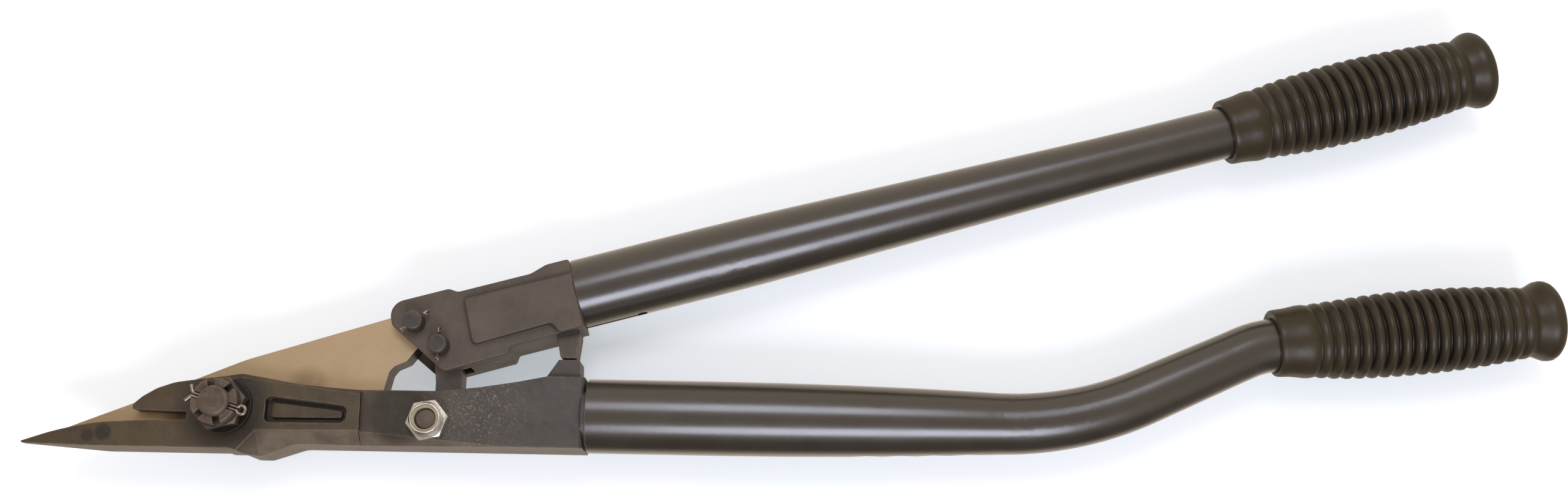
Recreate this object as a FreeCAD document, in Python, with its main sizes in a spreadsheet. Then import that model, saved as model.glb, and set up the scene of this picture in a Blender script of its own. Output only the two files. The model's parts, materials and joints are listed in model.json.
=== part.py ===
import FreeCAD, Part
import Sketcher
import math
import os

from FreeCAD import Placement, Rotation, Vector

# Heavy-duty lever shear for steel strapping, lying on its back with the jaws closed.
#
# Two frames are used for modelling.  The tool frame has its origin on the blade pivot, at mid
# thickness, with +X along the lower handle, +Y towards the upper handle and +Z up.  The lever
# frame has its origin on the link pin and +X along the upper handle.  At the end every piece is
# carried to the row frame, whose origin is the bottom centre of the whole tool.

# ---------------------------------------------------------------- driving dimensions (mm, deg)

SIZES = {
    # pivots in the tool frame
    "link_pivot_x": 94.0,
    "link_pivot_y": -5.0,
    "link_pin_x": 97.0,
    "link_pin_y": 29.8,
    "lever_angle": 15.6,
    # blade pin in the lever frame
    "blade_pin_x": -8.68,
    "blade_pin_y": 13.53,
    # depths above and below the middle plane
    "blade_half": 6.0,
    "cheek_inner": 6.3,
    "cheek_outer": 14.0,
    "neck_face": 12.0,
    "sole_back": 9.0,
    "lug_front": 10.0,
    "lug_back": 5.0,
    "plaque_face": 16.4,
    # lower frame
    "recess_depth": 4.2,
    "recess_bar": 2.0,
    "lower_tang_radius": 14.0,
    "upper_tang_radius": 13.4,
    "tang_length": 44.0,
    # handles
    "lower_tube_radius": 17.3,
    "crank_tube_radius": 14.3,
    "upper_tube_radius": 16.7,
    "grip_tube_radius": 12.5,
    "tube_wall": 3.2,
    "crank_radius": 160.0,
    "grip_bend_radius": 45.0,
    "lower_axis": 0.5,
    "upper_axis": 11.2,
    "slit_width": 2.4,
    "slit_length": 27.0,
    "keyhole_radius": 2.6,
    # grips
    "grip_length": 133.0,
    "grip_bore_depth": 127.0,
    "grip_bore_gap": 0.02,
    "rib_pitch": 6.0,
    # washers under both bolt heads
    "rear_washer": 1.6,
    # pivot bolt, its washer, castle nut and split pin
    "pivot_radius": 7.0,
    "pivot_flats": 22.0,
    "pivot_head": 8.0,
    "pivot_end": 31.5,
    "washer_radius": 12.9,
    "washer_thickness": 2.6,
    "castle_hex": 8.4,
    "castle_crown": 4.8,
    "castle_crown_radius": 10.6,
    "castle_slot": 3.4,
    # link bolt and its lock nut
    "link_bolt_radius": 5.0,
    "link_bolt_flats": 17.0,
    "link_bolt_head": 6.4,
    "link_bolt_end": 19.6,
    "link_washer_radius": 10.2,
    "lock_nut_hex": 6.0,
    "lock_nut_height": 10.4,
    "lock_nut_collar": 7.6,
    "nylon_ring_outer": 6.3,
    "nylon_ring_drop": 3.0,
    "nylon_ring_height": 2.0,
    # clevis pins and their split pins
    "pin_radius": 4.5,
    "pin_head_radius": 7.0,
    "pin_head": 3.0,
    "pin_end": 22.0,
    "pin_cotter_height": 18.2,
    "pin_cotter_wire": 0.6,
    "nut_cotter_wire": 0.8,
    # moving fits
    "running_gap": 0.06,
    "open_pivot_radius": 5.9,
    "blade_tail_radius": 7.9,
    "link_top_radius": 6.9,
    "link_foot_radius": 7.5,
    # row origin in the tool frame
    "origin_x": 264.31,
    "origin_y": 88.43,
    "origin_z": -23.6,
}

os.makedirs("parts", exist_ok=True)
doc = FreeCAD.newDocument("metal_shear")
sheet = doc.addObject("Spreadsheet::Sheet", "sizes")
for row, (alias, value) in enumerate(SIZES.items(), start=1):
    sheet.set(f"A{row}", alias)
    sheet.set(f"B{row}", str(value))
    sheet.setAlias(f"B{row}", alias)
doc.recompute()

NODES = []


def size(alias):
    """Value of a cell, for points that are worked out in Python."""
    return float(sheet.get(alias))


def bind(piece, prop, formula):
    """Bind a property to cells; every word of the formula that is an alias reads its cell."""
    words = formula.replace("(", "( ").replace(")", " )").split()
    piece.setExpression(prop, " ".join("sizes." + word if word in SIZES else word for word in words))


TO_ROW = Placement(Vector(-size("origin_x"), -size("origin_y"), -size("origin_z")), Rotation())
LINK_PIN = Vector(size("link_pin_x"), size("link_pin_y"), 0)
LEVER = Placement(LINK_PIN, Rotation(Vector(0, 0, 1), size("lever_angle")))


def finish(piece, local=Placement()):
    """Register a finished sub-part and carry it from its own frame to the row frame."""
    piece.Placement = TO_ROW.multiply(local)
    NODES.append(piece)
    return piece


# ---------------------------------------------------------------- outlines

def rounded(corners, closed=True):
    """Lines and tangent arcs through corners given as (x, y) or (x, y, rounding radius)."""
    points = [Vector(corner[0], corner[1], 0) for corner in corners]
    radii = [corner[2] if len(corner) > 2 else 0.0 for corner in corners]
    count = len(points)
    pieces = []
    starts = []
    ends = []
    for index, point in enumerate(points):
        at_end = not closed and index in (0, count - 1)
        if radii[index] == 0.0 or at_end:
            starts.append(point)
            ends.append(point)
            continue
        back = (points[index - 1] - point).normalize()
        ahead = (points[(index + 1) % count] - point).normalize()
        half_turn = back.getAngle(ahead) / 2
        trim = radii[index] / math.tan(half_turn)
        middle = (back + ahead).normalize()
        reach = radii[index] / math.sin(half_turn) - radii[index]
        starts.append(point + back * trim)
        ends.append(point + ahead * trim)
        pieces.append(Part.Arc(starts[-1], point + middle * reach, ends[-1]))
    last = count if closed else count - 1
    for index in range(last):
        here = ends[index]
        there = starts[(index + 1) % count]
        run = points[(index + 1) % count] - points[index]
        if (there - here).dot(run) < 0:
            raise ValueError(f"roundings meet after the corner {corners[index]}")
        if here.distanceToPoint(there) > 1e-6:
            pieces.append(Part.LineSegment(here, there))
    return pieces


def body(label):
    return doc.addObject("PartDesign::Body", label)


def sketch(owner, name, geometry, plane="XY_Plane", level=None):
    """Sketch on one of the body's origin planes, raised to a level that is a formula of cells."""
    flat = next(item for item in owner.Origin.OriginFeatures if item.Role == plane)
    drawing = owner.newObject("Sketcher::SketchObject", name)
    drawing.AttachmentSupport = (flat, [""])
    drawing.MapMode = "FlatFace"
    if level is not None:
        bind(drawing, "AttachmentOffset.Base.z", level)
    drawing.addGeometry(geometry, False)
    return drawing


def circles(owner, name, centres, radius, plane="XY_Plane", level=None):
    """Sketch of circles whose radius is a formula of cells."""
    rings = [Part.Circle(Vector(x, y, 0), Vector(0, 0, 1), 1.0) for x, y in centres]
    drawing = sketch(owner, name, rings, plane, level)
    for index, (x, y) in enumerate(centres):
        drawing.addConstraint(Sketcher.Constraint("DistanceX", -1, 1, index, 3, x))
        drawing.addConstraint(Sketcher.Constraint("DistanceY", -1, 1, index, 3, y))
        number = drawing.addConstraint(Sketcher.Constraint("Radius", index, 1.0))
        bind(drawing, f"Constraints[{number}]", radius)
    return drawing


def grow(owner, name, drawing, length, both_ways=False):
    """Pad along the sketch's normal."""
    feature = owner.newObject("PartDesign::Pad", name)
    feature.Profile = drawing
    if both_ways:
        feature.SideType = "Symmetric"
    bind(feature, "Length", length)
    return feature


def carve(owner, name, drawing, length, both_ways=False, upwards=False):
    """Pocket against the sketch's normal, or along it; it has to remove material."""
    doc.recompute()
    before = owner.Shape.Volume
    feature = owner.newObject("PartDesign::Pocket", name)
    feature.Profile = drawing
    feature.Reversed = upwards
    if both_ways:
        feature.SideType = "Symmetric"
    bind(feature, "Length", length)
    doc.recompute()
    if owner.Shape.Volume >= before:
        raise RuntimeError(f"{name} cut nothing")
    return feature


def slant(level, ridge, fall, way):
    """Triangle in (y, z) above a face that falls away from a ridge, towards +Y or -Y."""
    reach = ridge + 14 * way
    return [(ridge - way / fall, level + 1), (reach, level + 1), (reach, level - 14 * fall)]


def bevel(owner, name, stations):
    """Cut a slanting edge off; each station is (x, corners of the triangle cut away there)."""
    doc.recompute()
    before = owner.Shape.Volume
    drawings = []
    for number, (x, corners) in enumerate(stations):
        drawing = sketch(owner, f"{name}_{number}", rounded(corners), "YZ_Plane")
        drawing.AttachmentOffset = Placement(Vector(0, 0, x), Rotation())
        drawings.append(drawing)
    feature = owner.newObject("PartDesign::SubtractiveLoft", name)
    feature.Profile = drawings[0]
    feature.Sections = drawings[1:]
    feature.Ruled = True
    doc.recompute()
    if owner.Shape.Volume >= before:
        raise RuntimeError(f"{name} cut nothing")
    return feature


def soften(owner, name, radius, level):
    """Round the edges of the piece that lie in the plane at this height."""
    doc.recompute()
    base = owner.Tip
    numbered = enumerate(base.Shape.Edges, start=1)
    edges = [f"Edge{number}" for number, edge in numbered if lies_at(edge, level)]
    feature = owner.newObject("PartDesign::Fillet", name)
    feature.Base = (base, edges)
    feature.Radius = radius
    doc.recompute()
    return feature


def lies_at(edge, level):
    """True for an edge that lies in the plane at this height."""
    box = edge.BoundBox
    return abs(box.ZMin - level) < 1e-4 and abs(box.ZMax - level) < 1e-4


# ---------------------------------------------------------------- lower frame

JAW_TIP = (-94.0, -18.3, 0.5)
FRAME_END = 164.6
NECK_START = 62.0
BLOCK_START = 116.0
WEB_TOP = -13.4
FRAME_BOTTOM = -16.0
FRAME_TOP = 17.0

SOLE = (-62.0, -19.0, 60.0)
HEEL = [(4.0, -19.0, 6.0), (10.0, -21.3, 6.0), (16.5, -21.3, 6.0), (32.0, FRAME_BOTTOM, 12.0)]
SHOULDER = [(147.5, 17.0, 4.0), (134.0, 14.2, 30.0), (BLOCK_START, 11.2)]
BACK = [(97.0, 9.2, 30.0), (60.0, 9.0, 60.0), (46.0, 9.8, 30.0), (34.0, 10.8, 30.0), (6.0, 15.6, 10.0)]
FINGER = [
    (-12.0, 13.0, 30.0), (-25.0, 11.2, 20.0), (-33.0, 8.2, 12.0), (-38.8, 4.2, 8.0), (-42.3, 0.4, 1.4),
    (-42.3, -2.1, 0.8),
]
THROAT = [(-17.2, -2.8, 1.2), (-17.2, -6.4, 1.2)]
CUTTING_EDGE = [(-41.0, -7.3, 60.0), (-59.0, -8.4, 100.0), (-77.0, -12.4, 110.0)]


def make_lower_frame():
    piece = body("lower_frame")
    right_end = [(FRAME_END, FRAME_BOTTOM), (FRAME_END, FRAME_TOP)]

    front = [JAW_TIP, SOLE, *HEEL, *right_end, *SHOULDER, *BACK, *FINGER, *THROAT, *CUTTING_EDGE]
    drawing = sketch(piece, "front_outline", rounded(front), level="cheek_inner")
    grow(piece, "front_wall", drawing, "cheek_outer - cheek_inner")

    rear_nose = [(-14.0, 13.4, 8.0), (-16.0, 2.0, 10.0), (-15.0, -7.0, 10.0), (-3.0, -19.0, 3.0)]
    rear = [*HEEL, *right_end, *SHOULDER, *BACK, *rear_nose]
    drawing = sketch(piece, "rear_outline", rounded(rear), level="0 - cheek_outer")
    grow(piece, "rear_wall", drawing, "cheek_outer - cheek_inner")

    block = [*right_end, *SHOULDER, (BLOCK_START, WEB_TOP, 3.0)]
    core = [JAW_TIP, SOLE, *HEEL, *block, (-77.0, WEB_TOP, 10.0)]
    drawing = sketch(piece, "core_outline", rounded(core))
    grow(piece, "core", drawing, "2 * cheek_inner", both_ways=True)

    sole = [JAW_TIP, SOLE, (-1.0, -19.0), (-1.0, WEB_TOP), (-77.0, WEB_TOP, 10.0)]
    drawing = sketch(piece, "sole_outline", rounded(sole), level="0 - sole_back")
    grow(piece, "sole", drawing, "sole_back - cheek_inner")

    lug = [(144.0, 13.0), (149.0, 20.6, 2.0), (152.0, 25.2, 0.8), (161.8, 25.2, 0.8), (162.4, 13.0)]
    drawing = sketch(piece, "lug_outline", rounded(lug), level="0 - lug_back")
    grow(piece, "stop_lug", drawing, "lug_back + lug_front")

    # the neck stands a little lower than the nose, behind a crease
    neck = [(NECK_START - 0.6, 30.0), (NECK_START + 0.8, -30.0), (200.0, -30.0), (200.0, 30.0)]
    drawing = sketch(piece, "neck_outline", rounded(neck), level="neck_face")
    carve(piece, "neck_step", drawing, "cheek_outer - neck_face", upwards=True)

    # the block's front edge is rounded over towards the handle, which sits on a round tang
    neck_face = size("neck_face")
    over = [
        (FRAME_END - 4, neck_face + 1), (FRAME_END - 4, neck_face), (FRAME_END, neck_face, 2.2),
        (FRAME_END, neck_face - 4), (FRAME_END + 1, neck_face - 4), (FRAME_END + 1, neck_face + 1),
    ]
    drawing = sketch(piece, "end_outline", rounded(over), "XZ_Plane")
    carve(piece, "end_round", drawing, "4 * cheek_outer", both_ways=True)
    drawing = circles(piece, "tang_outline", [(size("lower_axis"), 0.0)], "lower_tang_radius", "YZ_Plane")
    drawing.AttachmentOffset = Placement(Vector(0, 0, FRAME_END - 1.0), Rotation())
    grow(piece, "tang", drawing, "tang_length + 1")

    # the back of the jaw thins towards the tip
    relief = [(-97.0, 13.0), (-97.0, -20.0), (-58.0, -20.0), (-58.0, -9.4)]
    drawing = sketch(piece, "tip_outline", rounded(relief), "XZ_Plane")
    carve(piece, "tip_relief", drawing, "4 * cheek_outer", both_ways=True)

    # slanting faces: along the top of finger and nose, and along the bottom of nose and neck
    face = size("cheek_outer")
    top = [(-46.0, -1.6, 0.4), (-14.0, 7.0, 0.4), (6.0, 13.6, 0.9), (NECK_START, 6.8, 1.05)]
    bevel(piece, "nose_top_bevel", [(x, slant(face, ridge, fall, 1)) for x, ridge, fall in top])
    foot = [(6.0, -21.0, 0.9), (15.0, -10.6, 0.9), (NECK_START + 1.2, -9.8, 1.1)]
    bevel(piece, "nose_foot_bevel", [(x, slant(face, ridge, fall, -1)) for x, ridge, fall in foot])
    foot = [(NECK_START, -10.2, 0.96), (132.0, -16.2, 0.9)]
    bevel(piece, "neck_foot_bevel", [(x, slant(neck_face, ridge, fall, -1)) for x, ridge, fall in foot])

    # a long recess in the nose with a raised bar on its floor
    recess = [(18.6, 5.3, 2.4), (18.6, -7.0, 2.4), (56.2, -6.8, 3.4), (56.2, 1.2, 3.4)]
    drawing = sketch(piece, "recess_outline", rounded(recess), level="cheek_outer")
    carve(piece, "recess", drawing, "recess_depth")
    bar = [(21.2, 2.5, 1.4), (21.2, -4.4, 1.4), (53.8, -4.2, 1.4), (53.8, -1.0, 1.4)]
    drawing = sketch(piece, "bar_outline", rounded(bar), level="cheek_outer - recess_depth")
    grow(piece, "recess_island", drawing, "recess_bar")

    drawing = circles(piece, "pivot_circle", [(0.0, 0.0)], "pivot_radius")
    carve(piece, "pivot_hole", drawing, "4 * cheek_outer", both_ways=True)
    link_pivot = (size("link_pivot_x"), size("link_pivot_y"))
    drawing = circles(piece, "link_circle", [link_pivot], "link_bolt_radius")
    carve(piece, "link_hole", drawing, "4 * cheek_outer", both_ways=True)
    return finish(piece)


# ---------------------------------------------------------------- blade and link

def make_shear_blade():
    piece = body("shear_blade")
    edge = [(-15.0, -7.4, 4.0), (-41.0, -8.1, 40.0), (-59.5, -9.2, 20.0)]
    tip = [(-79.0, -13.2, 0.4), (-79.8, -12.2, 0.4)]
    back = [(-69.5, -7.9, 30.0), (-46.0, 1.5, 60.0), (5.0, 23.1, 60.0), (84.0, 48.4)]
    tail = [
        (88.0, 40.0), (87.0, 33.2), (83.4, 28.2, 2.0), (80.3, 24.0, 3.0), (74.6, 21.4, 3.0),
        (72.4, 18.6, 4.0), (70.2, 8.0, 20.0), (69.0, 2.0, 3.0),
    ]
    foot = [(62.0, -1.0, 10.0), (40.0, -4.5, 30.0), (12.0, -11.0, 8.0), (-9.0, -11.6, 4.0)]
    drawing = sketch(piece, "blade_outline", rounded([*edge, *tip, *back, *tail, *foot]))
    grow(piece, "blade", drawing, "2 * blade_half", both_ways=True)
    pin = LEVER.multVec(Vector(size("blade_pin_x"), size("blade_pin_y"), 0))
    drawing = circles(piece, "tail_circle", [(pin.x, pin.y)], "blade_tail_radius")
    grow(piece, "tail", drawing, "2 * blade_half", both_ways=True)
    drawing = circles(piece, "pivot_circle", [(0.0, 0.0)], "pivot_radius + running_gap")
    carve(piece, "pivot_bore", drawing, "4 * blade_half", both_ways=True)
    drawing = circles(piece, "pin_circle", [(pin.x, pin.y)], "open_pivot_radius")
    carve(piece, "pin_hole", drawing, "4 * blade_half", both_ways=True)
    return finish(piece)


def make_toggle_link():
    piece = body("toggle_link")
    foot = (size("link_pivot_x"), size("link_pivot_y"))
    top = (size("link_pin_x"), size("link_pin_y"))
    bar = [
        (94.6, -5.0), (103.8, -8.6, 3.0), (106.4, -2.0, 4.0), (106.4, 20.0, 6.0), (102.0, 33.0, 2.0),
        (92.6, 31.0), (94.6, 14.0, 10.0),
    ]
    drawing = sketch(piece, "bar_outline", rounded(bar))
    grow(piece, "bar", drawing, "2 * blade_half", both_ways=True)
    drawing = circles(piece, "foot_circle", [foot], "link_foot_radius")
    grow(piece, "foot", drawing, "2 * blade_half", both_ways=True)
    drawing = circles(piece, "top_circle", [top], "link_top_radius")
    grow(piece, "top", drawing, "2 * blade_half", both_ways=True)
    drawing = circles(piece, "bolt_circle", [foot], "link_bolt_radius + running_gap")
    carve(piece, "bolt_bore", drawing, "4 * blade_half", both_ways=True)
    drawing = circles(piece, "pin_circle", [top], "pin_radius + running_gap")
    carve(piece, "pin_bore", drawing, "4 * blade_half", both_ways=True)
    return finish(piece)


# ---------------------------------------------------------------- upper head, in the lever frame

HEAD_END = 66.9
HEAD_TOP = 25.9
HEAD_FOOT = -7.9


def make_upper_head():
    piece = body("upper_head")
    top_edge = [(56.0, HEAD_TOP, 8.0), (48.0, 23.4, 8.0), (13.2, 23.4, 4.0), (9.6, HEAD_TOP, 4.0)]
    top_corner = (-19.6, HEAD_TOP, 7.5)
    right_end = [(HEAD_END, HEAD_FOOT), (HEAD_END, HEAD_TOP, 1.5)]
    foot_edge = [(29.8, -11.2, 1.5), (31.8, HEAD_FOOT, 1.5)]

    front = [(-19.6, 15.3, 4.0), (-0.8, -12.0, 4.0), *foot_edge, *right_end, *top_edge, top_corner]
    drawing = sketch(piece, "front_outline", rounded(front), level="cheek_inner")
    grow(piece, "front_cheek", drawing, "cheek_outer - cheek_inner")

    rear_end = [(HEAD_END, HEAD_FOOT, 8.0), (HEAD_END, HEAD_TOP, 1.5)]
    rear = [(-19.6, 8.4, 4.0), (-5.4, -11.6, 4.0), *foot_edge, *rear_end, *top_edge, top_corner]
    drawing = sketch(piece, "rear_outline", rounded(rear), level="0 - cheek_outer")
    grow(piece, "rear_cheek", drawing, "cheek_outer - cheek_inner")

    web = [(10.8, -11.8), *foot_edge, *right_end, *top_edge[:3], (9.4, 24.0), (14.8, 8.5, 6.0)]
    drawing = sketch(piece, "web_outline", rounded(web))
    grow(piece, "web", drawing, "2 * cheek_inner", both_ways=True)

    # raised plain panel on the front
    panel = [
        (15.4, 19.0, 1.2), (14.8, -3.6, 2.6), (52.4, -2.6, 2.4), (55.0, HEAD_FOOT, 2.4),
        (HEAD_END, HEAD_FOOT), (HEAD_END, 18.6),
    ]
    drawing = sketch(piece, "panel_outline", rounded(panel), level="cheek_inner")
    grow(piece, "panel", drawing, "plaque_face - cheek_inner")

    lug = [(53.4, -5.0), (52.6, -18.4, 0.8), (59.3, -20.4, 0.8), (63.4, -10.4, 8.0), (64.6, -5.0)]
    drawing = sketch(piece, "lug_outline", rounded(lug), level="0 - lug_back")
    grow(piece, "stop_lug", drawing, "lug_back + lug_front")

    drawing = circles(piece, "tang_outline", [(size("upper_axis"), 0.0)], "upper_tang_radius", "YZ_Plane")
    drawing.AttachmentOffset = Placement(Vector(0, 0, HEAD_END - 1.0), Rotation())
    grow(piece, "tang", drawing, "tang_length + 1")

    soften(piece, "panel_edges", 1.2, size("plaque_face"))
    soften(piece, "front_edges", 0.7, size("cheek_outer"))
    soften(piece, "rear_edges", 0.8, -size("cheek_outer"))
    for name, x, y in (("link_pin", 0.0, 0.0), ("blade_pin", size("blade_pin_x"), size("blade_pin_y"))):
        drawing = circles(piece, f"{name}_circle", [(x, y)], "pin_radius")
        carve(piece, f"{name}_hole", drawing, "4 * cheek_outer", both_ways=True)
    return finish(piece, LEVER)


# ---------------------------------------------------------------- handle tubes

def tapered_run(owner, line, axis):
    """Run of tube about a line parallel to X, from its outer line of (x, radius, rounding)."""
    outer = [(x, axis + radius, *rest) for x, radius, *rest in line]
    inner = [(x, y - size("tube_wall"), *rest) for x, y, *rest in reversed(outer)]
    profile = rounded([*outer, *inner])
    drawing = sketch(owner, "taper_profile", profile)
    drawing.addGeometry(Part.LineSegment(Vector(0, axis, 0), Vector(100, axis, 0)), True)
    feature = owner.newObject("PartDesign::Revolution", "taper")
    feature.Profile = drawing
    feature.ReferenceAxis = (drawing, ["Axis0"])
    feature.Angle = 360


def bent_run(owner, name, route, radii):
    """Run of tube along a bent route, from the radius at its start to the radius at its end."""
    for suffix, kind, inset in (("run", "Additive", 0.0), ("bore", "Subtractive", size("tube_wall"))):
        spine = sketch(owner, f"{name}_{suffix}_route", rounded(route, closed=False))
        rings = []
        for number, (here, there) in enumerate((route[:2], route[-2:])):
            heading = math.degrees(math.atan2(there[1] - here[1], there[0] - here[0]))
            place = (here, there)[number]
            ring = owner.newObject("Sketcher::SketchObject", f"{name}_{suffix}_ring_{number}")
            turn = Rotation(Vector(0, 0, 1), heading).multiply(Rotation(Vector(1, 1, 1), 120))
            ring.Placement = Placement(Vector(place[0], place[1], 0), turn)
            ring.addGeometry(Part.Circle(Vector(), Vector(0, 0, 1), radii[number] - inset), False)
            rings.append(ring)
        feature = owner.newObject(f"PartDesign::{kind}Pipe", f"{name}_{suffix}")
        feature.Profile = rings[0]
        feature.Spine = spine
        if radii[0] != radii[1]:
            feature.Transformation = "Multisection"
            feature.Sections = [rings[1]]
        doc.recompute()


def keyhole_slit(owner, start, axis, side):
    """Slit from the tube's mouth to a round relief hole, through one wall."""
    half = size("slit_width") / 2
    far = start + size("slit_length")
    outline = rounded([(start - 1, -half), (far, -half), (far, half), (start - 1, half)])
    drawing = sketch(owner, "slit_outline", outline, "XZ_Plane")
    drawing.AttachmentOffset = Placement(Vector(0, 0, -axis), Rotation())
    carve(owner, "slit", drawing, "2 * lower_tube_radius", upwards=side < 0)
    drawing = circles(owner, "relief_circle", [(far, 0.0)], "keyhole_radius", "XZ_Plane")
    drawing.AttachmentOffset = Placement(Vector(0, 0, -axis), Rotation())
    carve(owner, "relief_hole", drawing, "2 * lower_tube_radius", upwards=side < 0)


LOWER_MOUTH = 166.0
TAPER_END = 358.0
CRANK_CORNER = (393.9, size("lower_axis"), size("crank_radius"))
CRANK_END = (466.0, 33.1)
GRIP_CORNER = (479.8, 39.36, size("grip_bend_radius"))
GRIP_START = (486.5, 40.1)
GRIP_SLOPE = 6.3
TUBE_END = (611.8, 53.94)


def make_lower_handle_tube():
    piece = body("lower_handle_tube")
    axis = size("lower_axis")
    line = [
        (LOWER_MOUTH, size("lower_tube_radius")), (288.0, size("lower_tube_radius"), 2900.0),
        (TAPER_END, size("crank_tube_radius")),
    ]
    tapered_run(piece, line, axis)
    crank = [(TAPER_END, axis), CRANK_CORNER, CRANK_END]
    bent_run(piece, "crank", crank, (size("crank_tube_radius"), size("grip_tube_radius")))
    straight = [CRANK_END, GRIP_CORNER, TUBE_END]
    bent_run(piece, "grip_end", straight, (size("grip_tube_radius"), size("grip_tube_radius")))
    keyhole_slit(piece, LOWER_MOUTH, axis, 1)
    return finish(piece)


def make_upper_handle_tube():
    piece = body("upper_handle_tube")
    axis = size("upper_axis")
    wide = size("upper_tube_radius")
    slim = size("grip_tube_radius")
    line = [(HEAD_END, wide), (150.0, wide, 2400.0), (335.0, slim, 2400.0), (514.0, slim)]
    tapered_run(piece, line, axis)
    keyhole_slit(piece, HEAD_END, axis, -1)
    return finish(piece, LEVER)


# ---------------------------------------------------------------- grips

RIB_COUNT = 17
RIB_START = 18.0
FULLEST = 66.0
HALF_SPAN = 51.0


def grip_radius(along):
    """Radius over the ribs: slim at the mouth, fullest in the middle, slim before the flange."""
    reach = (along - FULLEST) / HALF_SPAN
    return 20.1 - 3.1 * reach * reach


def rib_depth(along):
    """Depth of the valleys between ribs, deepest in the middle of the grip."""
    reach = (along - FULLEST) / HALF_SPAN
    return 1.6 - 0.9 * reach * reach


def valley(number):
    """Bottom of one of the valleys, counted from the grip's mouth."""
    along = RIB_START + number * size("rib_pitch")
    return along, grip_radius(along) - rib_depth(along)


def make_grip(label, local):
    """Ribbed rubber sleeve about its own X axis, with its mouth at the origin."""
    piece = body(label)
    bore = size("grip_tube_radius") + size("grip_bore_gap")
    length = size("grip_length")
    depth = size("grip_bore_depth")
    collar = [
        (depth, 0.0), (depth, bore), (0.0, bore), (0.0, 15.6, 1.0), (6.0, 16.0, 6.0),
        (14.0, 17.4, 6.0), valley(0),
    ]
    end = valley(RIB_COUNT)
    flange = [end, (end[0] + 2.5, 17.0, 3.0), (127.2, 19.0, 4.5), (length, 19.0, 4.4), (length, 0.0)]
    geometry = rounded(collar, closed=False)
    for rib in range(RIB_COUNT):
        crest = RIB_START + (rib + 0.5) * size("rib_pitch")
        left = Vector(*valley(rib), 0)
        right = Vector(*valley(rib + 1), 0)
        geometry.append(Part.Arc(left, Vector(crest, grip_radius(crest), 0), right))
    geometry += rounded(flange, closed=False)
    geometry.append(Part.LineSegment(Vector(length, 0, 0), Vector(depth, 0, 0)))
    drawing = sketch(piece, "grip_profile", geometry)
    feature = piece.newObject("PartDesign::Revolution", "grip")
    feature.Profile = drawing
    feature.ReferenceAxis = (drawing, ["H_Axis"])
    feature.Angle = 360
    return finish(piece, local)


# ---------------------------------------------------------------- bolts, nuts and pins

def cylinder(name, radius, height, base="0"):
    solid = doc.addObject("Part::Cylinder", name)
    bind(solid, "Radius", radius)
    bind(solid, "Height", height)
    bind(solid, "Placement.Base.z", base)
    return solid


def combine(kind, label, base, *others):
    """Fuse or cut a chain of primitives one by one; the last result carries the label."""
    result = base
    for number, other in enumerate(others, start=1):
        name = label if number == len(others) else f"{label}_step_{number}"
        joined = doc.addObject(f"Part::{kind}", name)
        joined.Base = result
        joined.Tool = other
        result = joined
    return result


TURNED_RADIUS = 0.572
TURNED_FALL = 0.03
TURNED_SLOPE = 2.2


def hexagon(name, flats, height, base="0"):
    """Hexagon of a nut or bolt head with its corners turned down at the top and bottom."""
    prism = doc.addObject("Part::Prism", f"{name}_prism")
    prism.Polygon = 6
    bind(prism, "Circumradius", f"{flats} / sqrt(3)")
    bind(prism, "Height", height)
    bind(prism, "Placement.Base.z", base)
    disc = cylinder(f"{name}_disc", f"{flats} * {TURNED_RADIUS}", height, base)
    doc.recompute()
    turned = doc.addObject("Part::Chamfer", f"{name}_turned")
    turned.Base = disc
    rims = [n for n, edge in enumerate(disc.Shape.Edges, start=1) if len(edge.Vertexes) == 1]
    fall = size(flats) * TURNED_FALL
    turned.Edges = [(n, fall, fall * TURNED_SLOPE) for n in rims]
    common = doc.addObject("Part::Common", name)
    common.Base = prism
    common.Tool = turned
    return common


def chamfered_rod(name, radius, bottom, top, chamfer=0.7):
    """Round rod between two heights, with a chamfer round its top end."""
    rod = cylinder(f"{name}_rod", radius, f"{top} - ( {bottom} )", bottom)
    doc.recompute()
    highest = rod.Shape.BoundBox.ZMax
    rims = [n for n, edge in enumerate(rod.Shape.Edges, start=1) if lies_at(edge, highest)]
    result = doc.addObject("Part::Chamfer", name)
    result.Base = rod
    result.Edges = [(n, chamfer, chamfer) for n in rims]
    return result


def cross_hole(name, radius, height, angle):
    """Cutter for a split pin's hole across a rod that stands on the Z axis."""
    cutter = doc.addObject("Part::Cylinder", name)
    cutter.Radius = radius
    cutter.Height = 60
    tilt = Rotation(Vector(0, 0, 1), angle).multiply(Rotation(Vector(0, 1, 0), 90))
    start = Rotation(Vector(0, 0, 1), angle).multVec(Vector(-30, 0, 0))
    cutter.Placement = Placement(start + Vector(0, 0, height), tilt)
    return cutter


def at(x, y, angle=0.0):
    return Placement(Vector(x, y, 0), Rotation(Vector(0, 0, 1), angle))


COTTER_HOLE_GAP = 0.15
NUT_COTTER_ANGLE = -17.0
NUT_TURN = NUT_COTTER_ANGLE + 30.0
BLADE_COTTER_ANGLE = 22.0
LINK_COTTER_ANGLE = 74.4


def crown_level():
    """Height where the castle nut's hexagon ends and its crown begins."""
    return size("cheek_outer") + size("washer_thickness") + size("castle_hex")


def nut_cotter_height():
    return crown_level() + size("castle_crown") * 0.55


def make_washer(label, radius, hole, thickness, base, local=Placement()):
    disc = cylinder(f"{label}_disc", radius, thickness, base)
    bore = cylinder(f"{label}_bore", hole, "60", "-30")
    return finish(combine("Cut", label, disc, bore), local)


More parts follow.
